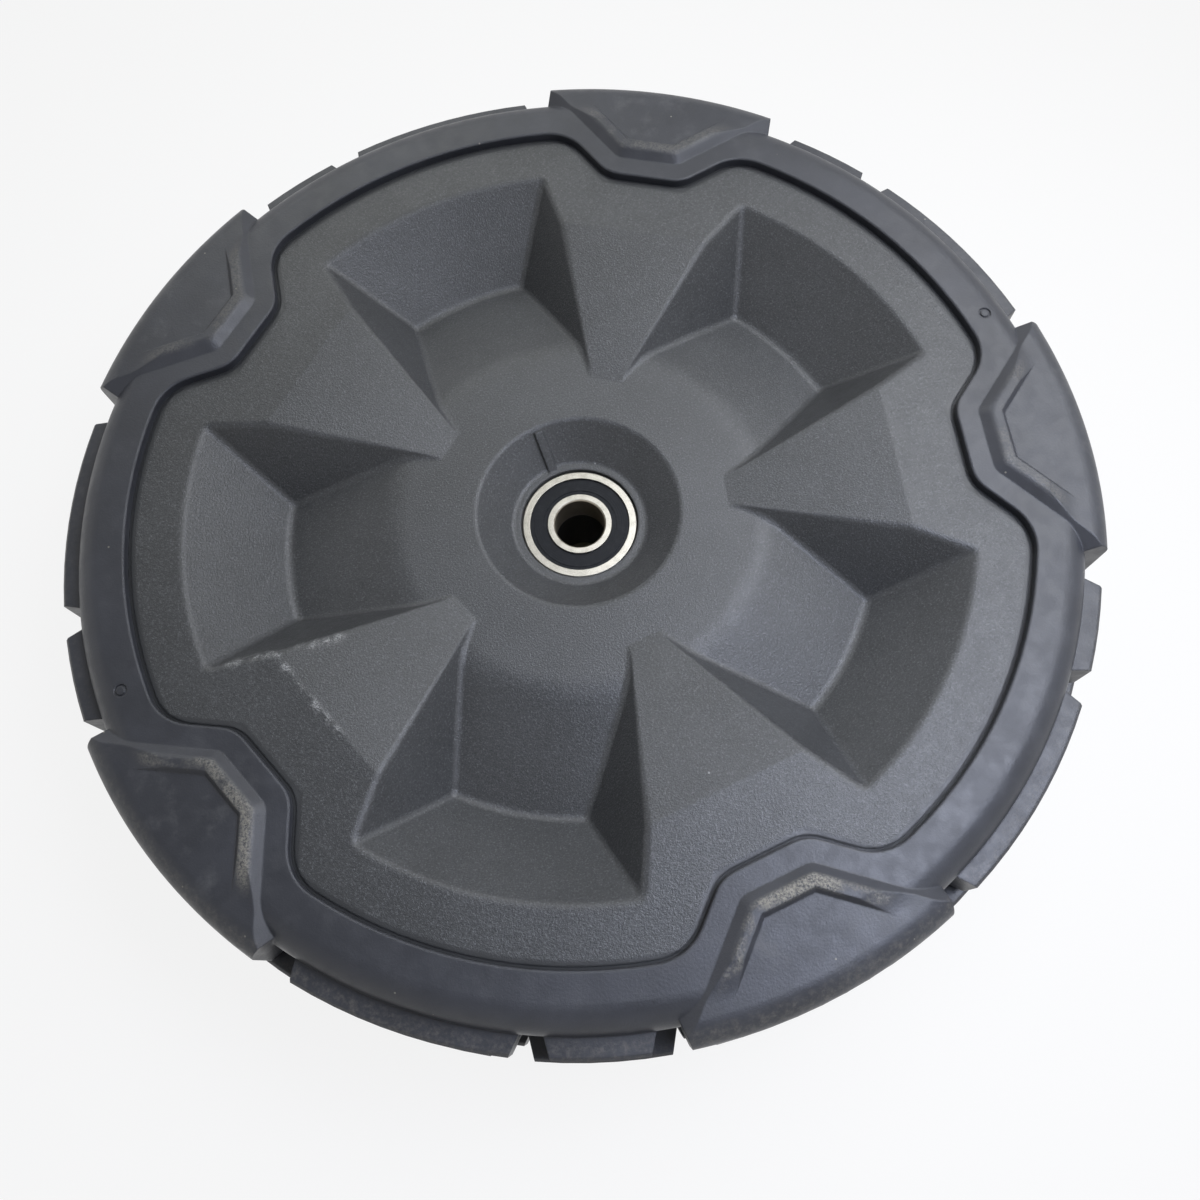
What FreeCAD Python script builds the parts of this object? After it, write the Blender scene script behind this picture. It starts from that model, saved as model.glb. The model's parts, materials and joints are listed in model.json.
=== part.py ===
"""Moulded utility wheel: a pocketed plastic disc, an overmoulded rubber tyre and two sealed ball bearings.

Millimetres. The wheel lies on its rear sidewall at z = 0 with its face up, and turns about Z.
The first tyre lug points along +X, and the pockets lie midway between the lugs.
"""
import FreeCAD
import Part
import math
import os

V = FreeCAD.Vector
ORIGIN = V(0, 0, 0)
AXLE = V(0, 0, 1)

# Heights along the axle
sectors = 5                  # lugs, spokes and pockets around the wheel
tyre_width = 71.0            # rear sidewall to front sidewall
face_drop = 2.4              # front sidewall down to the disc's face
hub_drop = 9.7               # disc's face down to the hub face
dish_depth = 9.4             # hub face down to the floor of the hub dish
bearing_recess = 0.9         # dish floor down to the front bearing
rear_bearing_rise = 4.6      # rear sidewall up to the rear bearing
hub_lip = 1.0                # rear bearing down to the rear end of the hub

# Tyre
tread_radius = 147.0         # shoulder rows of tread blocks
crown_rise = 1.5             # middle row above the shoulder rows
tread_depth = 5.5            # shoulder rows down to the floor of the tread
carcass_skin = 9.5           # floor of the tread down to the rim barrel
sidewall_round = 7.5
rubber_skin = 4.5            # rubber over the ends of the rim barrel
shoulder_row_width = 12.9
row_groove = 3.0             # between two rows of blocks
long_block = (18.1, 40.5)    # degrees from the lug before it
short_block = (44.5, 54.05)
middle_pitch = 18.0          # degrees between middle blocks
middle_gap = 4.4
middle_start = 42.6          # degrees from the first lug to the start of a middle block
end_draft = 0.1455           # degrees that a block grows for each millimetre down its flank
block_chamfer = 0.8
block_root = 2.5             # how far a block reaches into the tread base
edge_round = 0.6             # front inner edge of the rubber
mark_inset = 8.8             # floor of the tread in to two mould marks on the sidewall
mark_angle = 17.9
mark_size = 1.7
mark_line = 0.5
mark_depth = 0.4

# Side lugs, drawn with the radius through the lug's middle along X
lug_reach = 27.8             # tread in to the crest line nearest the axle
lug_half = 8.5               # half of the crest line
lug_flare = 49.0             # degrees between a lug's flank and its middle radius
lug_height = 2.2
lug_bevel = 2.9              # width of the sloping flanks
lug_sink = 3.0               # how far the flanks run on below the sidewall
lug_corner = 8.0             # rounding between two flanks
lug_crest_round = 3.0        # rounding between the flanks and the top
lug_end = 14.0               # degrees from the middle to the end, at the tread
lug_edge_round = 6.5         # between the lug's top and the tread
panel_band = 2.8             # raised rim around the sunk panel
panel_wall = 1.2
panel_depth = 1.5
panel_rim_start = 17.0       # tread in to where the raised rim starts to fall to the panel
panel_rim_end = 10.5         # tread in to where it has fallen
panel_rim_round = 12.0

# Disc
rim_overlap = 5.6            # rubber over the front of the barrel, in to the disc's edge
bay_strip = 6.1              # rubber between a lug's foot and the disc
bay_round = 10.0
cape_round = 14.0            # corners where a bay meets the rim
gutter_width = 0.8           # groove between the rubber and the disc's face
gutter_depth = 0.5
face_round = 0.4             # outer edge of the face
wall = 4.0
barrel_wall = 4.5
spoke_tip = 43.4             # axle to the inner end of a spoke
spoke_tip_half = 4.25
crease_inset = 20.2          # pocket rim in to the bend across a spoke
rim_band = 15.2              # disc's edge in to the pocket rim
pocket_rim_half = 19.5       # degrees
pocket_lean = 23.8           # pocket rim in to the foot of the outer wall
pocket_floor_half = 12.3     # degrees
pocket_depth = 21.6
ramp_top_radius = 54.0
ramp_round = 20.0
floor_round = 3.0
corner_round = 2.2
rim_round = 3.0
dish_floor_radius = 20.0
dish_rim_radius = 29.8
dish_round = 1.6
hub_wall = 5.5
rib_thickness = 4.0
rib_rear = 9.0
dish_rib_width = 2.7
dish_rib_height = 1.0
dish_rib_sector = 1          # the pocket that the dish rib lines up with

# Ball bearings, 15 x 35 x 11
bore_radius = 7.5
bearing_radius = 17.5
bearing_width = 11.0
ring_chamfer = 0.6
bore_chamfer = 0.4
outer_land_radius = 14.9
outer_shoulder_radius = 14.4
inner_land_radius = 9.55
inner_shoulder_radius = 10.6
pitch_radius = 12.5
ball_radius = 2.977
ball_count = 8
race_clearance = 0.09
seat_clearance = 0.02
seal_recess = 0.5            # ring face down to the seal
seal_thickness = 1.0
seal_groove = 0.4            # how far the seal's rim goes into the outer ring
seal_snap = 0.4              # seal face above the groove that holds it
seal_lip_clearance = 0.1
seal_side_clearance = 0.3
seal_band = (11.0, 13.7)     # raised band on the seal
seal_band_height = 0.2
cage_inner_radius = 11.3
cage_outer_radius = 13.7
cage_sheet = 0.6
cage_clearance = 0.12
rivet_radius = 0.45
rivet_clearance = 0.02
rivet_head_radius = 0.8
rivet_head = 0.35
spacer_wall = 1.9
spacer_clearance = 0.1

# Levels and radii that follow from the sizes above
sector_angle = 360.0 / sectors
half_sector = sector_angle / 2
face_z = tyre_width - face_drop
hub_z = face_z - hub_drop
dish_z = hub_z - dish_depth
front_bearing_z = dish_z - bearing_recess
rear_bearing_z = rear_bearing_rise
hub_rear_z = rear_bearing_z - hub_lip
seat_z = tyre_width - rubber_skin
plate_under_z = seat_z - wall
hub_under_z = hub_z - wall
block_face_z = tyre_width - sidewall_round
front_row_z = block_face_z - shoulder_row_width
crest_z = tyre_width + lug_height
panel_z = crest_z - panel_depth
lug_root_z = tyre_width - lug_sink
lug_root_grow = lug_bevel * (1 + lug_sink / lug_height)
crown_radius = tread_radius + crown_rise
tread_base_radius = tread_radius - tread_depth
barrel_radius = tread_base_radius - carcass_skin
barrel_inner_radius = barrel_radius - barrel_wall
mark_radius = tread_base_radius - mark_inset
lug_inner = tread_radius - lug_reach
disc_edge_radius = barrel_radius - rim_overlap
pocket_rim_radius = disc_edge_radius - rim_band
pocket_floor_radius = pocket_rim_radius - pocket_lean
crease = pocket_rim_radius - crease_inset          # axle to the bend across a spoke
hub_radius = bearing_radius + hub_wall
shoulder_radius = outer_land_radius + 2 * bore_chamfer
above_z = crest_z + wall
seal_face_z = bearing_width / 2 - seal_recess
seal_inner_z = seal_face_z - seal_thickness
seal_groove_z = seal_face_z - seal_snap
seal_radius = outer_land_radius + seal_groove
rivet_angle = 180.0 / ball_count


def polar(radius, degrees, z=0.0):
    angle = math.radians(degrees)
    return V(radius * math.cos(angle), radius * math.sin(angle), z)


def turn(shape, degrees):
    """A copy turned about the axle."""
    copy = shape.copy()
    copy.rotate(ORIGIN, AXLE, degrees)
    return copy


def around(shape, count=sectors, start=0.0):
    """Copies of a shape, evenly spaced about the axle."""
    return [turn(shape, start + 360.0 * k / count) for k in range(count)]


def outline(corners):
    """Closed wire through corners (point, radius): a corner with a radius becomes a tangent arc."""
    edges = []
    ends = []
    for index, (point, radius) in enumerate(corners):
        before = (corners[index - 1][0] - point).normalize()
        after = (corners[(index + 1) % len(corners)][0] - point).normalize()
        if not radius:
            ends.append((point, None, point))
            continue
        half = before.getAngle(after) / 2
        run = radius / math.tan(half)
        middle = point + (before + after).normalize() * (radius / math.sin(half) - radius)
        ends.append((point + before * run, middle, point + after * run))
    for index, (start, middle, end) in enumerate(ends):
        if middle:
            edges.append(Part.Arc(start, middle, end).toShape())
        following = ends[(index + 1) % len(ends)][0]
        edges.append(Part.LineSegment(end, following).toShape())
    return Part.Wire(edges)


def turned(points, angle=360.0):
    """Solid of revolution of a section given as (radius, height) or (radius, height, corner radius)."""
    corners = [(V(p[0], 0, p[1]), p[2] if len(p) > 2 else 0.0) for p in points]
    return Part.Face(outline(corners)).revolve(ORIGIN, AXLE, angle)


def plate(points, thickness):
    """Flat plate in a plane through the axle, centred on +X."""
    wire = outline([(V(r, -thickness / 2, z), 0.0) for r, z in points])
    return Part.Face(wire).extrude(V(0, thickness, 0))


def prism(points, low, high):
    """Upright prism over a plan polygon."""
    wire = outline([(V(x, y, low), 0.0) for x, y in points])
    return Part.Face(wire).extrude(V(0, 0, high - low))


def upright(edge):
    """Whether an edge runs along the axle."""
    first, last = edge.Vertexes[0].Point, edge.Vertexes[-1].Point
    return math.hypot(first.x - last.x, first.y - last.y) < 1e-6 < abs(first.z - last.z)


def reach(point):
    """Distance from the axle."""
    return math.hypot(point.x, point.y)


def middle_of(edge):
    return edge.valueAt((edge.FirstParameter + edge.LastParameter) / 2)


def upright_edges(body, radius):
    """Edges along the axle's direction at a distance from it."""
    return [e for e in body.Edges if upright(e) and abs(reach(middle_of(e)) - radius) < 0.01]


def level_edges(body, z):
    """Edges that lie at one height."""
    return [e for e in body.Edges if all(abs(v.Point.z - z) < 0.01 for v in e.Vertexes)]


def between(lower, upper):
    """Solid between two polygons with as many corners, whose sides are flat."""
    rings = [Part.makePolygon(points + points[:1]) for points in (lower, upper)]
    faces = [Part.Face(ring) for ring in rings]
    for index in range(len(lower)):
        corners = [lower[index - 1], lower[index], upper[index], upper[index - 1]]
        faces.append(Part.Face(Part.makePolygon(corners + corners[:1])))
    return Part.Solid(Part.Shell(faces))


# Plan of a lug and of the bay around it
def lug_plan(grow, outer):
    """Half hexagon of a lug's crest, grown outward by an offset and open beyond the tread."""
    flare = math.radians(lug_flare)
    inner_x = lug_inner - grow
    inner_y = lug_half + grow * (1 - math.sin(flare)) / math.cos(flare)
    outer_y = inner_y + (outer - inner_x) * math.tan(flare)
    return [(inner_x, -inner_y), (outer, -outer_y), (outer, outer_y), (inner_x, inner_y)]


def disc_plan(inset, low, high):
    """Upright body of the disc's front outline, drawn in by an inset, with a bay around each lug."""
    radius = disc_edge_radius - inset
    bay = prism(lug_plan(lug_bevel + bay_strip + inset, crown_radius), low, high)
    body = Part.makeCylinder(radius, high - low, V(0, 0, low)).cut(around(bay))
    body = body.makeFillet(cape_round - inset, upright_edges(body, radius))
    bay_corner = math.hypot(*lug_plan(lug_bevel + bay_strip + inset, crown_radius)[0])
    return body.makeFillet(bay_round + inset, upright_edges(body, bay_corner))


# Tyre
def tread_block(start, end, low, high, radius, foot):
    """Block of tread between two angles, growing towards its foot, as a plan drawn out along the axle."""
    spread = end_draft * (radius - foot)
    middle = (start + end) / 2
    top = Part.Arc(*(polar(radius, a, low) for a in (start, middle, end)))
    root = Part.Arc(*(polar(foot, a, low) for a in (end + spread, middle, start - spread)))
    down = Part.LineSegment(top.EndPoint, root.StartPoint)
    up = Part.LineSegment(root.EndPoint, top.StartPoint)
    wire = Part.Wire([curve.toShape() for curve in (top, down, root, up)])
    return Part.Face(wire).extrude(V(0, 0, high - low))


def chamfered_block(start, end, low, high, radius):
    """Tread block on the carcass, with its two outer edges broken."""
    block = tread_block(start, end, low, high, radius, tread_base_radius - block_root)
    outer = [e for e in block.Edges if not upright(e) and abs(reach(middle_of(e)) - radius) < 0.01]
    return block.makeChamfer(block_chamfer, outer)


def lug_crown():
    """Top of the lug on +X: sloping flanks, rounded into each other and into the flat crest."""
    lower = [V(x, y, lug_root_z) for x, y in lug_plan(lug_root_grow, crown_radius + 1)]
    upper = [V(x, y, crest_z) for x, y in lug_plan(0, crown_radius + 1)]
    block = prism(lug_plan(lug_root_grow + 1, crown_radius), lug_root_z, crest_z)
    body = block.common(between(lower, upper))
    sloping = [e for e in body.Edges if abs(e.Vertexes[0].Point.z - e.Vertexes[-1].Point.z) > lug_height]
    body = body.makeFillet(lug_corner, [e for e in sloping if middle_of(e).x < crown_radius - 1])
    crest = [e for e in level_edges(body, crest_z) if middle_of(e).x < crown_radius - 1]
    return body.makeFillet(lug_crest_round, crest)


def lug():
    """Side lug on +X: a sunk panel that rolls down to the tread, in a raised rim that falls to it."""
    root_radius = barrel_radius + wall
    fall_start = tread_radius - 2 * panel_rim_start + panel_rim_end
    section = [
        (lug_inner - lug_root_grow - 1, lug_root_z),
        (lug_inner - lug_root_grow - 1, crest_z + panel_depth),
        (fall_start, crest_z + panel_depth),
        (tread_radius - panel_rim_end, panel_z, panel_rim_round),
        (tread_radius, panel_z, lug_edge_round),
        (tread_radius, front_row_z),
        (root_radius, front_row_z),
        (root_radius, lug_root_z),
    ]
    ring = turn(turned(section, 2 * half_sector), -half_sector)
    root = prism(lug_plan(lug_root_grow, crown_radius), front_row_z - 1, lug_root_z)
    body = ring.common(lug_crown().fuse(root))
    foot_radius = lug_inner - lug_root_grow - 2
    ends = tread_block(-lug_end, lug_end, front_row_z - 1, above_z, tread_radius + 1, foot_radius)
    lower = [V(x, y, panel_z) for x, y in lug_plan(-panel_band - panel_wall, crown_radius)]
    upper = [V(x, y, crest_z) for x, y in lug_plan(-panel_band, crown_radius)]
    return body.common(ends).cut(between(lower, upper))


def carcass():
    """Rubber skin around the rim barrel, open at the front over the disc's outline."""
    inner = lug_inner - 2 * (lug_bevel + bay_strip)
    body = turned([
        (inner, tyre_width),
        (tread_base_radius, tyre_width, sidewall_round),
        (tread_base_radius, 0, sidewall_round),
        (barrel_inner_radius, 0),
        (barrel_inner_radius, rubber_skin),
        (barrel_radius, rubber_skin),
        (barrel_radius, seat_z),
        (inner, seat_z),
    ]).cut(disc_plan(0, seat_z - 1, above_z))
    top_edges = level_edges(body, tyre_width)
    inner_edges = [e for e in top_edges if reach(middle_of(e)) < disc_edge_radius + 0.01]
    return body.makeFillet(edge_round, inner_edges)


def tread():
    """Blocks of the two shoulder rows and the middle row; at the front the lugs fill the widest places."""
    front_row = (front_row_z, block_face_z)
    rear_row = (sidewall_round, sidewall_round + shoulder_row_width)
    blocks = around(chamfered_block(-lug_end, lug_end, *rear_row, tread_radius))
    for start, end in (long_block, short_block):
        for row in (front_row, rear_row):
            blocks += around(chamfered_block(start, end, *row, tread_radius))
    middle_end = middle_start + middle_pitch - middle_gap
    middle_row = (rear_row[1] + row_groove, front_row[0] - row_groove)
    middle = chamfered_block(middle_start, middle_end, *middle_row, crown_radius)
    return blocks + around(middle, round(360 / middle_pitch))


def mould_mark(angle):
    """Thin ring sunk into the sidewall."""
    ring = Part.makeCylinder(mark_size, mark_depth).cut(Part.makeCylinder(mark_size - mark_line, mark_depth))
    ring.translate(polar(mark_radius, angle, tyre_width - mark_depth))
    return ring


def tyre():
    body = carcass().multiFuse(tread() + around(lug()))
    return body.cut([mould_mark(mark_angle), mould_mark(mark_angle + 180)]).removeSplitter()


# Disc
def side_plane():
    """Tip of the spoke beside the pocket on +X, and the outward normal of that pocket's side there."""
    rim = polar(pocket_rim_radius, pocket_rim_half, face_z)
    foot = polar(pocket_floor_radius, pocket_floor_half, face_z - pocket_depth)
    tip_angle = half_sector - math.degrees(math.atan2(spoke_tip_half, spoke_tip))
    tip = polar(math.hypot(spoke_tip, spoke_tip_half), tip_angle, hub_z)
    return tip, (foot - rim).cross(tip - rim).normalize()


def side_point(grow, x, z):
    """Point at x and z on the pocket's side, moved out by a wall."""
    tip, normal = side_plane()
    return V(x, tip.y + (grow - normal.x * (x - tip.x) - normal.z * (z - tip.z)) / normal.y, z)


def pocket(grow, top):
    """Wedge pocket on +X, grown by a wall: turned floor and outer wall between leaning sides."""
    floor_z = face_z - pocket_depth
    lean = (pocket_rim_radius - pocket_floor_radius) / pocket_depth
    ramp = math.atan2(hub_z - floor_z, pocket_floor_radius - ramp_top_radius)
    down = grow / math.cos(ramp)
    out = grow * math.hypot(1, lean)
    ramp_slope = math.tan(ramp)
    floor_radius = pocket_floor_radius + (out - lean * down) / (1 + lean * ramp_slope)
    floor_low = floor_z - down - (floor_radius - pocket_floor_radius) * ramp_slope
    rim_radius = floor_radius + (top - floor_low) * lean
    inner = spoke_tip - 2 * wall
    room = turned([
        (inner, hub_z - down),
        (ramp_top_radius, hub_z - down, ramp_round),
        (floor_radius, floor_low, floor_round),
        (rim_radius, top),
        (inner, top),
    ])
    rings = []
    for z in (floor_z - 2 * wall, top):
        near, far = (side_point(grow, x, z) for x in (inner - wall, rim_radius + wall))
        rings.append([near, far, V(far.x, -far.y, z), V(near.x, -near.y, z)])
    body = turn(room, 180).common(between(*rings))
    corners = [e for e in body.Edges if outer_corner(e, floor_radius, rim_radius)]
    return body.makeFillet(corner_round, corners)


def outer_corner(edge, floor_radius, rim_radius):
    """Whether an edge climbs the corner between a pocket's side and its outer wall."""
    first, last = edge.Vertexes[0].Point, edge.Vertexes[-1].Point
    rises = abs(first.z - last.z) > pocket_depth / 3
    nearer, farther = sorted((reach(first), reach(last)))
    return rises and farther > rim_radius - 2 and nearer > floor_radius - 4


def flared_pocket():
    """Pocket on +X with its rim rounded over, as the room it leaves in a plain slab."""
    near = spoke_tip - 2 * wall + 1
    far = pocket_rim_radius + pocket_depth
    low = face_z - pocket_depth - 2 * wall
    slab = prism([(near, -far), (far, -far), (far, far), (near, far)], low, face_z)
    sunk = slab.cut(pocket(0, above_z))
    middles = [(e, middle_of(e)) for e in level_edges(sunk, face_z)]
    rim = [e for e, m in middles if near + 1 < m.x < pocket_rim_radius + 1 and abs(m.y) < far - 1]
    return slab.cut(sunk.makeFillet(rim_round, rim))


def spoke_rounding():
    """Sliver off the spoke's edge beside the pocket on +X: a round that grows from tip to crease."""
    tip, side = side_plane()
    lean = math.atan2(face_z - hub_z, crease - spoke_tip)
    top = polar(-math.sin(lean), half_sector, math.cos(lean))
    along = side.cross(top).normalize()
    length = (face_z - hub_z) / along.z
    bend = top.getAngle(side * -1) / 2
    inward = (side - top).normalize()
    centre = along * length + inward * (rim_round / math.cos(bend))
    half_angle = math.asin(rim_round / centre.Length)
    stretch = 1.2
    width = rim_round * math.tan(bend) * stretch
    far = along * length * stretch
    on_top = far + (side - top * side.dot(top)).normalize() * width
    on_side = far + (side * side.dot(top) - top).normalize() * width
    start = tip + along
    corners = [start + p for p in (on_top, on_side, far - inward)]
    faces = [Part.Face(Part.makePolygon([a, b, c, a])) for a, b, c in (
        (corners[0], corners[1], corners[2]),
        (start, corners[0], corners[1]),
        (start, corners[1], corners[2]),
        (start, corners[2], corners[0]),
    )]
    height = centre.Length * stretch * 1.2
    cone = Part.makeCone(0, height * math.tan(half_angle), height, start, centre)
    return Part.Solid(Part.Shell(faces)).cut(cone)


def spoke_cut():
    """Room above the sloping top of the spoke on +X."""
    rise = (face_z - hub_z) / (crease - spoke_tip)
    far = spoke_tip + (above_z - hub_z) / rise
    half = spoke_tip * math.tan(math.radians(half_sector))
    return plate([(spoke_tip, hub_z), (far, above_z), (spoke_tip, above_z)], 2 * half)


def rib():
    """Radial rib behind the face, from the hub to the barrel."""
    return plate([
        (hub_radius - 1, rib_rear),
        (barrel_inner_radius + 1, rib_rear),
        (barrel_inner_radius + 1, plate_under_z + 1),
        (crease, plate_under_z + 1),
        (spoke_tip, hub_under_z + 1),
        (hub_radius - 1, hub_under_z + 1),
    ], rib_thickness)


def dish_rib():
    """Small rib down the slope of the hub dish."""
    foot = V(dish_floor_radius, 0, dish_z)
    along = (V(dish_rim_radius, 0, hub_z) - foot).normalize()
    up = V(-along.z, 0, along.x)
    low = foot - along * dish_round
    high = V(dish_rim_radius, 0, hub_z) - along * (1.2 * dish_rib_height * along.x / along.z)
    corners = [low - up, high - up, high + up * dish_rib_height, low + up * dish_rib_height]
    return plate([(p.x, p.z) for p in corners], dish_rib_width)


def disc_blank():
    """Disc before its face is carved: hub, plate, rim barrel, pocket walls and ribs."""
    shell = turned([
        (shoulder_radius, hub_rear_z),
        (hub_radius, hub_rear_z),
        (hub_radius, dish_z - hub_wall),
        (dish_rim_radius + hub_wall, hub_under_z),
        (spoke_tip, hub_under_z),
        (crease, plate_under_z),
        (barrel_inner_radius, plate_under_z),
        (barrel_inner_radius, rubber_skin),
        (barrel_radius, rubber_skin),
        (barrel_radius, seat_z),
        (shoulder_radius, seat_z),
    ])
    gutter = disc_plan(0, plate_under_z + 1, face_z - gutter_depth)
    face = disc_plan(gutter_width, plate_under_z + 1, face_z)
    face = face.makeFillet(face_round, level_edges(face, face_z))
    pocket_walls = around(pocket(wall, plate_under_z + 1), start=half_sector)
    return shell.multiFuse([gutter, face] + pocket_walls + around(rib(), 2 * sectors))


def hub_room():
    """Room above the flat hub face, five-sided where the spokes end, and the room of the hub dish."""
    corner = spoke_tip / math.cos(math.radians(half_sector))
    plan = [polar(corner, half_sector + sector_angle * k) for k in range(sectors)]
    dish = turned([
        (0, dish_z),
        (dish_floor_radius, dish_z, dish_round),
        (dish_rim_radius, hub_z, dish_round),
        (dish_rim_radius + wall, hub_z),
        (dish_rim_radius + wall, above_z),
        (0, above_z),
    ])
    return [prism([(p.x, p.y) for p in plan], hub_z, above_z), dish]


def wheel_disc():
    pockets = around(flared_pocket(), start=half_sector)
    body = disc_blank().cut(hub_room() + around(spoke_cut()) + pockets)
    sliver = spoke_rounding()
    other = sliver.mirror(ORIGIN, V(0, 1, 0))
    body = body.cut(around(sliver, start=half_sector) + around(other, start=half_sector))
    body = body.fuse(turn(dish_rib(), half_sector + sector_angle * dish_rib_sector))
    seat_radius = bearing_radius + seat_clearance
    front_seat = Part.makeCylinder(seat_radius, above_z, V(0, 0, front_bearing_z - bearing_width))
    rear_seat = Part.makeCylinder(seat_radius, bearing_width + hub_lip, V(0, 0, hub_rear_z))
    return body.cut([front_seat, rear_seat]).removeSplitter()


# Bearings
def mirrored(points):
    """Section closed by its own mirror image below the bearing's middle plane."""
    return points + [(p[0], -p[1]) for p in reversed(points)]


def bearing_rings():
    """Outer and inner ring, each with its ball race."""
    half = bearing_width / 2
    outer = turned(mirrored([
        (bearing_radius, half - ring_chamfer),
        (bearing_radius - ring_chamfer, half),
        (outer_land_radius, half),
        (outer_land_radius, seal_groove_z),
        (seal_radius, seal_groove_z),
        (seal_radius, seal_inner_z),
        (outer_shoulder_radius, seal_inner_z),
    ]))
    inner = turned(mirrored([
        (bore_radius, half - bore_chamfer),
        (bore_radius + bore_chamfer, half),
        (inner_land_radius, half),
        (inner_land_radius, seal_inner_z - seal_side_clearance),
        (inner_shoulder_radius, seal_inner_z - seal_side_clearance),
    ]))
    race = Part.makeTorus(pitch_radius, ball_radius + race_clearance)
    return outer.cut(race), inner.cut(race)


def bearing_seal():
    """Seal snapped into the outer ring, with a raised band around its face."""
    band_inner, band_outer = seal_band
    base_z = seal_face_z - seal_band_height
    rim = outer_land_radius - seal_lip_clearance
    lip = inner_land_radius + seal_lip_clearance
    return turned([
        (seal_radius, seal_inner_z),
        (seal_radius, seal_groove_z),
        (rim, seal_groove_z),
        (rim, base_z),
        (band_outer, base_z),
        (band_outer, seal_face_z),
        (band_inner, seal_face_z),
        (band_inner, base_z),
        (lip, base_z),
        (lip, seal_inner_z),
    ])


def cage_ring(height):
    return turned([
        (cage_inner_radius, 0),
        (cage_outer_radius, 0),
        (cage_outer_radius, height),
        (cage_inner_radius, height),
    ])


def cage_half():
    """Half of the pressed cage: a flat ring of sheet, arched over each ball and holed for the rivets."""
    pocket_radius = ball_radius + cage_clearance
    arch_radius = pocket_radius + cage_sheet
    bump = Part.makeCylinder(arch_radius, bearing_radius, ORIGIN, V(1, 0, 0))
    arch = cage_ring(arch_radius + 1).common(bump)
    room = Part.makeCylinder(pocket_radius, bearing_radius, ORIGIN, V(1, 0, 0))
    hole = Part.makeCylinder(rivet_radius + rivet_clearance, cage_sheet, polar(pitch_radius, rivet_angle))
    sheet = cage_ring(cage_sheet).multiFuse(around(arch, ball_count))
    return sheet.cut(around(room, ball_count) + around(hole, ball_count))


def cage_rivet():
    """Rivet through both halves of the cage, headed at both ends."""
    shank = Part.makeCylinder(rivet_radius, 2 * cage_sheet, polar(pitch_radius, rivet_angle, -cage_sheet))
    upper = Part.makeCylinder(rivet_head_radius, rivet_head, polar(pitch_radius, rivet_angle, cage_sheet))
    lower_z = -cage_sheet - rivet_head
    lower = Part.makeCylinder(rivet_head_radius, rivet_head, polar(pitch_radius, rivet_angle, lower_z))
    return shank.multiFuse([upper, lower])


def flipped(shape):
    """A copy turned over about X."""
    copy = shape.copy()
    copy.rotate(ORIGIN, V(1, 0, 0), 180)
    return copy


def bearing():
    """The pieces of one ball bearing, centred on the origin, by name."""
    outer_ring, inner_ring = bearing_rings()
    ball = Part.makeSphere(ball_radius, V(pitch_radius, 0, 0))
    return {
        "outer_ring": outer_ring,
        "inner_ring": inner_ring,
        "balls": Part.makeCompound(around(ball, ball_count)),
        "cage_upper": cage_half(),
        "cage_lower": flipped(cage_half()),
        "cage_rivets": Part.makeCompound(around(cage_rivet(), ball_count)),
        "seal_upper": bearing_seal(),
        "seal_lower": flipped(bearing_seal()),
    }


def spacer_sleeve():
    """Sleeve that holds the two inner rings apart."""
    inner = bore_radius + spacer_clearance
    low = rear_bearing_z + bearing_width
    high = front_bearing_z - bearing_width
    return turned([(inner, low), (inner + spacer_wall, low), (inner + spacer_wall, high), (inner, high)])


def main():
    os.makedirs("parts", exist_ok=True)
    nodes = {"wheel_disc": wheel_disc(), "tyre": tyre(), "spacer_sleeve": spacer_sleeve()}
    middles = {
        "front_bearing": front_bearing_z - bearing_width / 2,
        "rear_bearing": rear_bearing_z + bearing_width / 2,
    }
    pieces = bearing()
    for name, z in middles.items():
        for piece, shape in pieces.items():
            placed = shape.copy()
            placed.translate(V(0, 0, z))
            nodes[name + "_" + piece] = placed
    for name, shape in nodes.items():
        shape.exportStep("parts/" + name + ".step")


main()
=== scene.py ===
"""Looks, floor, light and camera for the moulded utility wheel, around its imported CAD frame.

Metres, in the CAD's frame: the wheel lies face up on its rear sidewall and turns about Z.
Inside the materials, places are in millimetres from the same origin. Colours are linear.
"""

import bpy
import json
import math
from mathutils import Matrix, Vector


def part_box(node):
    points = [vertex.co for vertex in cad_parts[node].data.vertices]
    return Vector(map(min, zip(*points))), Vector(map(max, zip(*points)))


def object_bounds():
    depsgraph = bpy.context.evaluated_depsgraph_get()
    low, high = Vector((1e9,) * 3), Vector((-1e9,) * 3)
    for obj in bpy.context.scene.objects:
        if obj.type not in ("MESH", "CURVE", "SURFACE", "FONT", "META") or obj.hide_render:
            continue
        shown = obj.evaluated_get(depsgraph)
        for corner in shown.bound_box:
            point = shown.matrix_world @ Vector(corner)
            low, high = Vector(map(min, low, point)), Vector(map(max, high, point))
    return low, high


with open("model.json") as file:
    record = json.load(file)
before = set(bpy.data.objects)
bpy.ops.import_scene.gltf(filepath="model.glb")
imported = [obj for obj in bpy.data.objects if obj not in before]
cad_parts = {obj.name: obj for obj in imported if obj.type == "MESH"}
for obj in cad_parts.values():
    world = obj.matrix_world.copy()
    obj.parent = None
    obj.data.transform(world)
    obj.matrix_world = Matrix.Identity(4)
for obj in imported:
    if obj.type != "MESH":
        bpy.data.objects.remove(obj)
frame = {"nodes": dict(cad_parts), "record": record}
cad_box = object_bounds()

MM = 1000.0                  # millimetres in a metre

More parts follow.
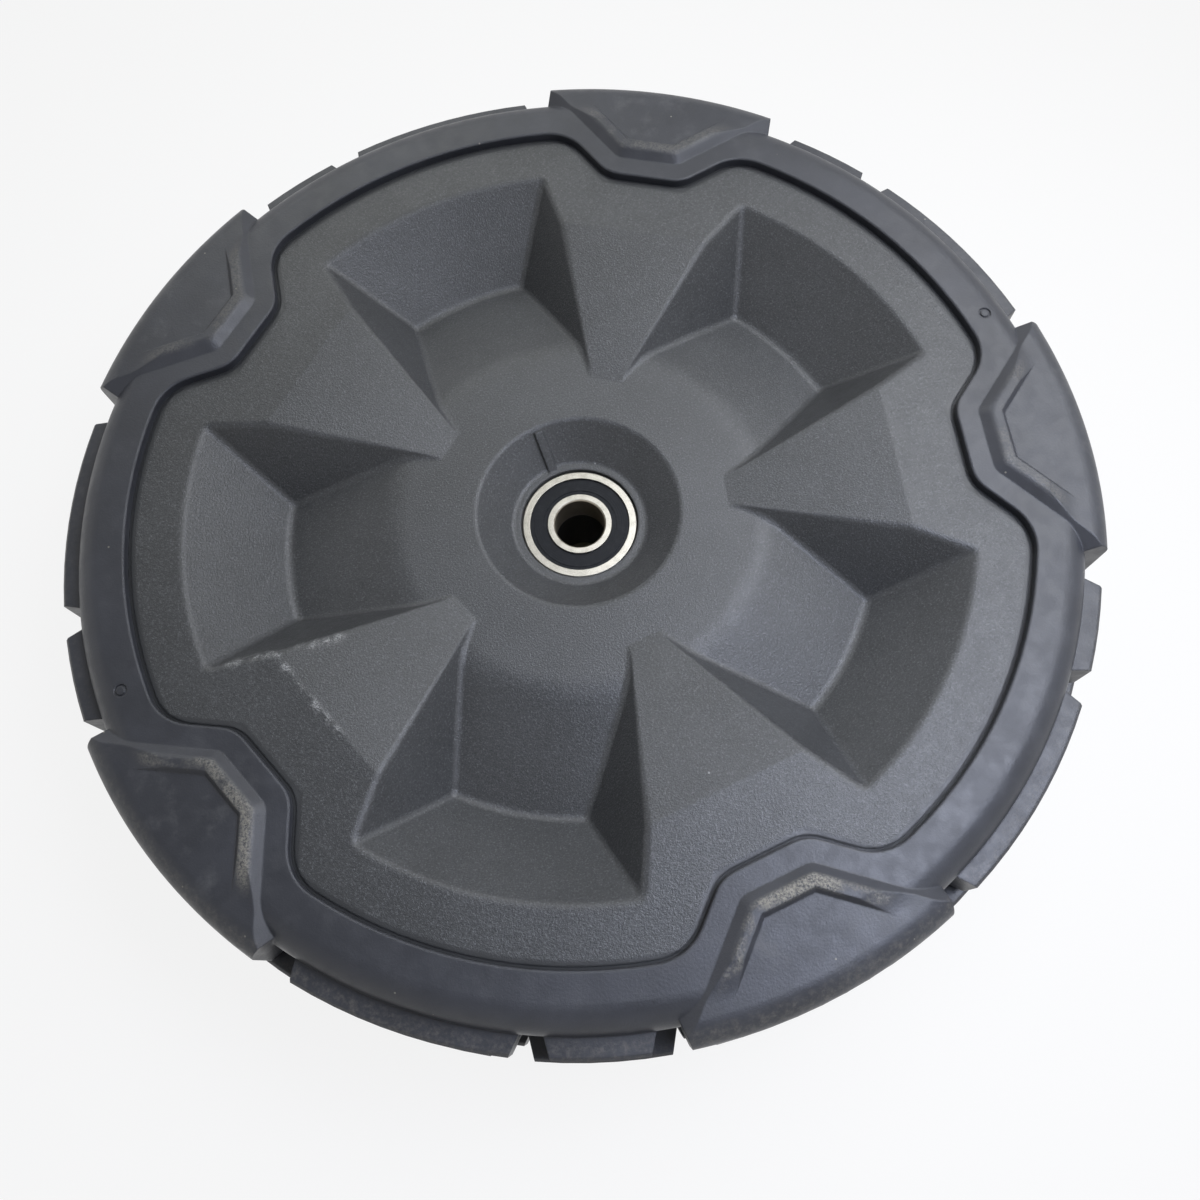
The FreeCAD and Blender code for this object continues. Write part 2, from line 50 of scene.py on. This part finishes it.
# Sizes that the materials follow, in millimetres
LUGS = 5
LUG_INNER = 119.2            # axle to the crest line of a lug
LUG_HALF = 8.5               # half the straight inner edge of a lug
LUG_FLARE = math.radians(49.0)
LUG_BAND = 2.8               # raised rim around a lug's panel
BAY_GAP = 9.0                # crest line of a lug in to the disc's edge
DISC_EDGE = 126.4
GUTTER = 0.8                 # groove between the disc and the rubber
SMOOTH_STRIP = 1.0           # strip of the disc beside the groove, without grain
STRIP_FADE = 0.8
TREAD_RADIUS = 147.0
BORE_RADIUS = 7.5
BORE_CHAMFER = 0.4
LUG_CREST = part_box("tyre")[1].z * MM
DISC_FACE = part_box("wheel_disc")[1].z * MM

# Scuffed lines on the disc, in plan: along one pocket's rim and along the crease beside it
RIM_SCUFF = ((-98.0, -36.4), (-69.0, -32.0))
RIM_SCUFF_REACH = 2.6
CREASE_SCUFF = ((-87.0, -34.4), (-69.5, -59.9))
CREASE_SCUFF_REACH = 1.8
WORN_SIDE = math.radians(265.0)    # direction in which the tyre is scuffed most

# Heights of the bumps and radii of the softened edges, in metres
GRAIN_HEIGHT, PLASTIC_EDGE = 0.00020, 0.0010
SKIN_HEIGHT, RUBBER_EDGE = 0.00006, 0.0007
MARK_HEIGHT, STEEL_EDGE = 0.000008, 0.0002
SEAL_HEIGHT = 0.00003
BEVEL_SAMPLES = 4

# Patterns: shares of the two grains, turning marks to a millimetre and a radian, rings of a seal
COARSE_SHARE, FINE_SHARE = 0.65, 0.35
MARKS_ACROSS, MARKS_AROUND = 9.0, 1.5
SEAL_RINGS, SEAL_RING_SHARE = 9.0, 0.15

# Colours of the plastic, the rubber and the seals
PLASTIC_DARK, PLASTIC_PALE = (0.0475, 0.0488, 0.0502), (0.0565, 0.0580, 0.0597)
PLASTIC_SMOOTH = (0.034, 0.0352, 0.0375)
# Painted highlight for the grain's peaks and painted shade for its pits
GRAIN_PEAK_HIGHLIGHT, GRAIN_PIT_SHADE = (0.130, 0.1338, 0.1365), (0.020, 0.021, 0.023)
PLASTIC_SCUFF = (0.40, 0.40, 0.39)
RUBBER_DARK, RUBBER_PALE = (0.032, 0.0338, 0.0405), (0.0425, 0.0448, 0.0535)
RUBBER_BLOOM = (0.17, 0.17, 0.17)
RUBBER_DUST = (0.20, 0.185, 0.16)
RUBBER_WEAR = (0.32, 0.300, 0.250)
SEAL_DARK, SEAL_HAZE = (0.008, 0.0092, 0.0115), (0.015, 0.0162, 0.0190)

# Colours and finishes of the steel: two tones, range of roughness, share of stain, tone of the bore (grease
# with painted shade)
STEEL_STAIN = (0.22, 0.15, 0.09)
STEEL_PORE = (0.20, 0.185, 0.16)
BORE_GREASE_AND_SHADE = (0.42, 0.375, 0.30)
BORE_ROUGHNESS = 0.45
STEELS = {
    "ring_steel": dict(name="ring_steel_ground", bright=(0.46, 0.44, 0.39), dull=(0.36, 0.345, 0.30),
                       rough_low=0.26, rough_high=0.38),
    "ball_steel": dict(name="ball_steel_polished", bright=(0.80, 0.80, 0.81), dull=(0.72, 0.72, 0.73),
                       rough_low=0.06, rough_high=0.12),
    "cage_steel": dict(name="cage_steel_pressed", bright=(0.56, 0.56, 0.55), dull=(0.46, 0.46, 0.45),
                       rough_low=0.30, rough_high=0.45, stain=0.1),
    # The sleeve's dark tones and its darker bore are partly painted shade inside the bore
    "sleeve_steel": dict(name="sleeve_steel_drawn_shaded", bright=(0.20, 0.18, 0.15), dull=(0.12, 0.105, 0.085),
                         rough_low=0.25, rough_high=0.42, stain=0.3, grease=(0.055, 0.050, 0.044)),
}

# Camera found from the photograph
CAMERA_AT = Vector((-0.00336, -0.12743, 0.33773))
CAMERA_AIM = Vector((0.00290, -0.02496, 0.0486))
CAMERA_ROLL = math.radians(-4.06)
CAMERA_LENS = 31.576
SENSOR = 36.0
CLIP_NEAR, CLIP_FAR = 0.01, 20.0

# Floor: reaches are shares of the wheel's radius
FLOOR_SIZE = 6.0
FLOOR_GAP = 0.0003
FLOOR_COLOUR = (0.88, 0.88, 0.88)
FLOOR_GLOW = 0.87            # share of the floor's white that a shadow doesn't darken
UNDER_WHEEL, BESIDE_WHEEL = 0.80, 0.96
FADE_START, FADE_END = 1.2, 12.0

# World: its even light, and the strength of the backdrop overhead, between two heights of view
WORLD_COLOUR = (0.96, 0.98, 1.0)
WORLD_STRENGTH = 0.04
CEILING = 0.42
CEILING_START, CEILING_END = 0.55, 0.85

# Lamps: the spread is in degrees and the power in watts
LAMPS = {
    "window": dict(at=(0.24, 0.10, 0.44), aim=(0.06, -0.03, 0.05), size=0.40, spread=110.0,
                   power=0.88, colour=(0.93, 0.955, 1.0)),
    "skylight": dict(at=(-0.10, 0.40, 0.42), aim=(-0.03, 0.06, 0.05), size=0.30, spread=110.0,
                     power=0.19, colour=(0.97, 1.0, 0.95)),
    "far_window": dict(at=(0.18, -0.10, 0.42), aim=(0.08, -0.08, 0.07), size=0.20, spread=90.0,
                       power=0.26, colour=(0.70, 0.77, 1.0)),
}


def opaque(colour):
    return (*colour, 1.0)


class Graph:
    """The emptied node tree of a material or world, with short calls that hand back output sockets."""

    def __init__(self, owner):
        owner.use_nodes = True
        self.tree = owner.node_tree
        self.tree.nodes.clear()

    def node(self, kind, inputs=None, **settings):
        made = self.tree.nodes.new(kind)
        for name, value in settings.items():
            setattr(made, name, value)
        for key, value in (inputs or {}).items():
            self.feed(made.inputs[key], value)
        return made

    def feed(self, socket, value):
        if isinstance(value, bpy.types.NodeSocket):
            self.tree.links.new(value, socket)
        else:
            socket.default_value = value

    def math(self, operation, first, second=0.0, third=0.0):
        inputs = {0: first, 1: second, 2: third}
        return self.node("ShaderNodeMath", inputs, operation=operation).outputs[0]

    def vector(self, operation, first, second=None, **named):
        inputs = {0: first, **named}
        if second is not None:
            inputs[1] = second
        made = self.node("ShaderNodeVectorMath", inputs, operation=operation)
        return made.outputs["Value" if operation in ("LENGTH", "DOT_PRODUCT", "DISTANCE") else "Vector"]

    def step(self, value, start, end, low=0.0, high=1.0):
        """Smooth change from low to high while a value goes from start to end."""
        inputs = {"Value": value, "From Min": start, "From Max": end, "To Min": low, "To Max": high}
        return self.node("ShaderNodeMapRange", inputs, interpolation_type="SMOOTHSTEP").outputs["Result"]

    def band(self, value, start, end, soft):
        """1 between two values, fading to 0 outside them."""
        rise = self.step(value, start - soft, start + soft)
        fall = self.step(value, end - soft, end + soft, low=1.0, high=0.0)
        return self.math("MULTIPLY", rise, fall)

    def times(self, *values):
        product = values[0]
        for value in values[1:]:
            product = self.math("MULTIPLY", product, value)
        return product

    def seen_directly(self):
        """1 for rays from the camera, a mirror or glass, and 0 for the rays that carry light."""
        path = self.node("ShaderNodeLightPath").outputs
        mirrored = self.math("MAXIMUM", path["Is Glossy Ray"], path["Is Transmission Ray"])
        return self.math("MAXIMUM", path["Is Camera Ray"], mirrored)

    def mixed_surface(self, output, share, first, second):
        """Ends the tree with a surface between two shaders."""
        mix = self.node("ShaderNodeMixShader", {0: share, 1: first.outputs[0], 2: second.outputs[0]})
        self.node(output, {"Surface": mix.outputs[0]})


class Look(Graph):
    """One material of the wheel, with its place in millimetres and what its patterns need."""

    def __init__(self, name):
        self.material = bpy.data.materials.new(name)
        super().__init__(self.material)
        where = self.node("ShaderNodeTexCoord").outputs["Object"]
        self.place = self.vector("SCALE", where, Scale=MM)

    def noise(self, scale, detail=2.0, roughness=0.5, where=None):
        inputs = {"Vector": where or self.place, "Scale": scale, "Detail": detail, "Roughness": roughness}
        return self.node("ShaderNodeTexNoise", inputs).outputs[0]

    def patches(self, scale, start, end, low=0.0, high=1.0, detail=4.0, roughness=0.6):
        """Soft patches of noise: low where it is under start, and high where it is over end."""
        return self.step(self.noise(scale, detail, roughness), start, end, low, high)

    def specks(self, scale, size):
        """Sparse small dots, one in each cell of a loose grid."""
        inputs = {"Vector": self.place, "Scale": scale}
        distance = self.node("ShaderNodeTexVoronoi", inputs).outputs["Distance"]
        return self.step(distance, size, size * 0.6)

    def blend(self, amount, first, second):
        """Colour between two colours."""
        made = self.node("ShaderNodeMix", data_type="RGBA")
        for index, value in ((0, amount), (6, first), (7, second)):
            self.feed(made.inputs[index], opaque(value) if isinstance(value, tuple) else value)
        return made.outputs[2]

    def polar(self):
        """Distance from the axle, the angle about it in radians, and the height."""
        x, y, z = self.node("ShaderNodeSeparateXYZ", {0: self.place}).outputs
        radius = self.math("SQRT", self.math("ADD", self.times(x, x), self.times(y, y)))
        return radius, self.math("ARCTAN2", y, x), z

    def lug_depth(self, radius, angle):
        """How far a place lies inside the crest outline of the nearest lug, in plan."""
        pitch = 2 * math.pi / LUGS
        turns = self.math("DIVIDE", angle, pitch)
        off = self.times(self.math("SUBTRACT", turns, self.math("ROUND", turns)), pitch)
        along = self.times(radius, self.math("COSINE", off))
        across = self.math("ABSOLUTE", self.times(radius, self.math("SINE", off)))
        inward = self.math("SUBTRACT", along, LUG_INNER)
        flank = self.math("SUBTRACT", LUG_HALF, across)
        slant = self.math("MULTIPLY_ADD", flank, math.cos(LUG_FLARE), self.times(inward, math.sin(LUG_FLARE)))
        return self.math("MINIMUM", inward, slant)

    def near_line(self, ends, reach):
        """1 on a line between two points of the plan, fading to 0 at a distance from it."""
        start, end = (Vector((*point, 0.0)) for point in ends)
        line = end - start
        plan = self.vector("MULTIPLY", self.place, (1.0, 1.0, 0.0))
        offset = self.vector("SUBTRACT", plan, tuple(start))
        share = self.math("DIVIDE", self.vector("DOT_PRODUCT", offset, tuple(line)), line.length_squared)
        share = self.node("ShaderNodeClamp", {"Value": share}).outputs[0]
        away = self.vector("DISTANCE", offset, self.vector("SCALE", tuple(line), Scale=share))
        return self.step(away, reach, 0.0)

    def bump(self, height, distance, edge_radius=None):
        """Normal of a bumpy surface, with softened edges where a radius is given."""
        inputs = {"Height": height, "Distance": distance, "Strength": 1.0}
        if edge_radius is not None:
            bevel = self.node("ShaderNodeBevel", {"Radius": edge_radius}, samples=BEVEL_SAMPLES)
            inputs["Normal"] = bevel.outputs["Normal"]
        return self.node("ShaderNodeBump", inputs).outputs["Normal"]

    def finish(self, colour, roughness, normal, **others):
        inputs = {"Base Color": colour, "Roughness": roughness, "Normal": normal}
        for key, value in others.items():
            inputs[key.replace("_", " ")] = value
        shader = self.node("ShaderNodeBsdfPrincipled", inputs)
        self.node("ShaderNodeOutputMaterial", {"Surface": shader.outputs["BSDF"]})
        return self.material


def disc_plastic():
    """Charcoal plastic with an eroded grain whose peaks are painted lighter as highlight and whose pits are
    painted darker as shade, smooth in a strip beside the rubber, scuffed at one pocket.
    """
    look = Look("disc_plastic_grained")
    radius, angle, z = look.polar()
    from_edge = look.math("MINIMUM", look.math("SUBTRACT", DISC_EDGE, radius),
                          look.math("SUBTRACT", -BAY_GAP, look.lug_depth(radius, angle)))
    strip_end = GUTTER + SMOOTH_STRIP
    grained = look.step(from_edge, strip_end - STRIP_FADE, strip_end + STRIP_FADE)
    coarse = look.noise(1.8, detail=2.0, roughness=0.6)
    fine = look.noise(3.8, detail=1.0, roughness=0.5)
    grain = look.math("MULTIPLY_ADD", coarse, COARSE_SHARE, look.times(fine, FINE_SHARE))
    grain = look.times(grain, look.math("MULTIPLY_ADD", grained, 0.9, 0.1))

    tone = look.blend(look.patches(0.045, 0.35, 0.65, detail=3.0), PLASTIC_DARK, PLASTIC_PALE)
    tone = look.blend(look.step(grained, 1.0, 0.0, high=0.30), tone, PLASTIC_SMOOTH)
    # Painted highlight on the grain's peaks and painted shade in its pits, following the bump's height
    peak_highlight = look.times(look.step(grain, 0.52, 0.68, high=0.72), grained)
    tone = look.blend(peak_highlight, tone, GRAIN_PEAK_HIGHLIGHT)
    pit_shade = look.times(look.step(grain, 0.48, 0.34, high=0.62), grained)
    tone = look.blend(pit_shade, tone, GRAIN_PIT_SHADE)

    on_face = look.step(z, DISC_FACE - 5.0, DISC_FACE - 2.5)
    lines = look.math("MAXIMUM", look.near_line(RIM_SCUFF, RIM_SCUFF_REACH),
                      look.near_line(CREASE_SCUFF, CREASE_SCUFF_REACH))
    broken = look.patches(0.22, 0.43, 0.62, roughness=0.65)
    stipple = look.patches(2.6, 0.40, 0.62, detail=3.0, roughness=0.65)
    scuff = look.times(lines, broken, on_face, stipple)
    dots = look.times(look.specks(0.07, size=0.026), 0.6)
    tone = look.blend(look.math("MAXIMUM", scuff, dots), tone, PLASTIC_SCUFF)

    rough = look.patches(0.3, 0.3, 0.7, low=0.33, high=0.41, detail=3.0)
    normal = look.bump(grain, GRAIN_HEIGHT, PLASTIC_EDGE)
    return look.finish(tone, rough, normal, Specular_IOR_Level=0.5)


def tyre_rubber():
    """Dark rubber with dusty scuffs on the lugs' raised rims, on the tread and along its edges."""
    look = Look("tyre_rubber_moulded")
    radius, angle, z = look.polar()
    depth = look.lug_depth(radius, angle)

    tone = look.blend(look.patches(0.05, 0.35, 0.7), RUBBER_DARK, RUBBER_PALE)
    on_panel = look.step(depth, LUG_BAND, LUG_BAND + 2.0, low=0.10, high=0.30)
    bloom = look.times(look.patches(0.11, 0.50, 0.78, detail=5.0, roughness=0.65), on_panel)
    tone = look.blend(bloom, tone, RUBBER_BLOOM)

    side = look.math("COSINE", look.math("SUBTRACT", angle, WORN_SIDE))
    used = look.step(side, 0.3, 0.95, low=0.22)
    rim = look.band(depth, -0.2, LUG_BAND, soft=0.9)
    high = look.step(z, LUG_CREST - 1.5, LUG_CREST - 0.4)
    broken = look.patches(0.09, 0.34, 0.54)
    stipple = look.patches(1.7, 0.32, 0.64, roughness=0.7)
    wear = look.times(rim, high, broken, stipple, used)

    dust = look.patches(0.6, 0.40, 0.75, detail=5.0, roughness=0.7)
    tread = look.times(look.step(radius, TREAD_RADIUS - 2.6, TREAD_RADIUS - 0.3), dust, 0.25)
    lug_edge = look.times(look.band(radius, TREAD_RADIUS - 4.5, TREAD_RADIUS + 1.0, soft=1.5),
                          look.step(z, LUG_CREST - 16.0, LUG_CREST - 9.0), used, dust, 0.45)
    tone = look.blend(look.math("MAXIMUM", tread, lug_edge), tone, RUBBER_DUST)
    dots = look.times(look.specks(0.10, size=0.032), 0.7)
    tone = look.blend(look.math("MAXIMUM", wear, dots), tone, RUBBER_WEAR)

    rough = look.patches(0.22, 0.3, 0.7, low=0.36, high=0.48)
    rough = look.math("MULTIPLY_ADD", wear, 0.3, rough)
    skin = look.math("MULTIPLY_ADD", wear, 1.2, look.noise(1.6, detail=3.0, roughness=0.6))
    normal = look.bump(skin, SKIN_HEIGHT, RUBBER_EDGE)
    return look.finish(tone, rough, normal, Specular_IOR_Level=0.5)


def turned_steel(name, bright, dull, rough_low, rough_high, stain=0.0, grease=BORE_GREASE_AND_SHADE):
    """Ground steel with fine marks around the axle, small pores, a faint stain, and old grease in the bore
    that is darkened further as painted shade.
    """
    look = Look(name)
    radius, angle, z = look.polar()
    lathe = look.node("ShaderNodeCombineXYZ", {
        0: look.times(radius, MARKS_ACROSS), 1: look.times(angle, MARKS_AROUND),
        2: look.times(z, MARKS_ACROSS)}).outputs[0]
    marks = look.noise(1.0, detail=4.0, roughness=0.6, where=lathe)
    tone = look.blend(look.patches(0.35, 0.40, 0.72), bright, dull)
    stained = look.times(look.patches(0.16, 0.45, 0.7, detail=3.0), stain)
    tone = look.blend(stained, tone, STEEL_STAIN)
    # The bore is darkened partly as grease and partly as painted shade inside the hole
    greased_and_shaded = look.step(radius, BORE_RADIUS + 0.9 * BORE_CHAMFER, BORE_RADIUS + 0.4 * BORE_CHAMFER)
    tone = look.blend(greased_and_shaded, tone, grease)
    tone = look.blend(look.patches(4.5, 0.52, 0.68, high=0.45, detail=2.0), tone, STEEL_PORE)
    rough = look.step(marks, 0.25, 0.75, rough_low, rough_high)
    rough = look.math("MAXIMUM", rough, look.times(greased_and_shaded, BORE_ROUGHNESS))
    normal = look.bump(marks, MARK_HEIGHT, STEEL_EDGE)
    return look.finish(tone, rough, normal, Metallic=1.0)


def seal_rubber():
    """Smooth dark seal with faint moulding rings and a little grease haze."""
    look = Look("seal_rubber_smooth")
    radius = look.polar()[0]
    rings = look.math("SINE", look.times(radius, SEAL_RINGS))
    tone = look.blend(look.patches(0.5, 0.45, 0.75), SEAL_DARK, SEAL_HAZE)
    rough = look.patches(1.2, 0.3, 0.7, low=0.38, high=0.52, detail=3.0)
    height = look.math("ADD", look.times(rings, SEAL_RING_SHARE), look.noise(2.5))
    return look.finish(tone, rough, look.bump(height, SEAL_HEIGHT), Specular_IOR_Level=0.16)


def dress():
    """Gives each CAD node the material of its slot."""
    looks = {"disc_plastic": disc_plastic(), "tyre_rubber": tyre_rubber(), "seal_rubber": seal_rubber()}
    for slot, steel in STEELS.items():
        looks[slot] = turned_steel(**steel)
    for part in frame["record"]["subparts"]:
        slots = frame["nodes"][part["node"]].data.materials
        slots.clear()
        slots.append(looks[part["material_slot"]])


def floor():
    """Pale floor: dark under the wheel, near white beside it with its soft shadow, and white far off."""
    bpy.ops.mesh.primitive_plane_add(size=FLOOR_SIZE, location=(0, 0, cad_box[0].z - FLOOR_GAP))
    ground = bpy.context.object
    ground.name = "floor"
    material = bpy.data.materials.new("floor_white")
    graph = Graph(material)
    away = graph.vector("LENGTH", graph.node("ShaderNodeTexCoord").outputs["Object"])
    reach = cad_box[1].x
    beside = graph.step(away, UNDER_WHEEL * reach, BESIDE_WHEEL * reach)
    far = graph.step(away, FADE_START * reach, FADE_END * reach, low=FLOOR_GLOW)
    below = graph.node("ShaderNodeNewGeometry").outputs["Backfacing"]
    glowing = graph.math("MAXIMUM", graph.times(beside, far), below)
    matte = graph.node("ShaderNodeBsdfDiffuse", {"Color": opaque(FLOOR_COLOUR)})
    glow = graph.node("ShaderNodeEmission", {"Strength": 1.0})
    share = graph.times(graph.seen_directly(), glowing)
    graph.mixed_surface("ShaderNodeOutputMaterial", share, matte, glow)
    ground.data.materials.append(material)


def surroundings():
    """White backdrop to the eye, greyer overhead, and a dimmer even light on the object."""
    world = bpy.data.worlds.new("studio")
    bpy.context.scene.world = world
    graph = Graph(world)
    way = graph.node("ShaderNodeTexCoord").outputs["Generated"]
    height = graph.node("ShaderNodeSeparateXYZ", {0: way}).outputs["Z"]
    strength = graph.step(height, CEILING_START, CEILING_END, low=1.0, high=CEILING)
    light = graph.node("ShaderNodeBackground", {"Color": opaque(WORLD_COLOUR), "Strength": WORLD_STRENGTH})
    white = graph.node("ShaderNodeBackground", {"Color": opaque((1.0, 1.0, 1.0)), "Strength": strength})
    graph.mixed_surface("ShaderNodeOutputWorld", graph.seen_directly(), light, white)


def softbox(name, at, aim, size, spread, power, colour):
    """Square area lamp with a grid that keeps its light within a cone."""
    lamp = bpy.data.lights.new(name, "AREA")
    lamp.size = size
    lamp.spread = math.radians(spread)
    lamp.energy = power
    lamp.color = colour
    holder = bpy.data.objects.new(name, lamp)
    bpy.context.scene.collection.objects.link(holder)
    holder.location = at
    holder.rotation_mode = "QUATERNION"
    holder.rotation_quaternion = (Vector(at) - Vector(aim)).to_track_quat("Z", "Y")
    holder.visible_camera = False


def camera():
    data = bpy.data.cameras.new("photo_camera")
    data.lens = CAMERA_LENS
    data.sensor_width = SENSOR
    data.clip_start = CLIP_NEAR
    data.clip_end = CLIP_FAR
    holder = bpy.data.objects.new("photo_camera", data)
    bpy.context.scene.collection.objects.link(holder)
    turn = (CAMERA_AIM - CAMERA_AT).to_track_quat("-Z", "Y").to_matrix().to_4x4()
    holder.matrix_world = Matrix.Translation(CAMERA_AT) @ turn @ Matrix.Rotation(CAMERA_ROLL, 4, "Z")
    bpy.context.scene.camera = holder


dress()
floor()
surroundings()
for lamp_name, lamp_settings in LAMPS.items():
    softbox(lamp_name, **lamp_settings)
camera()
bpy.context.scene.view_settings.view_transform = "Standard"
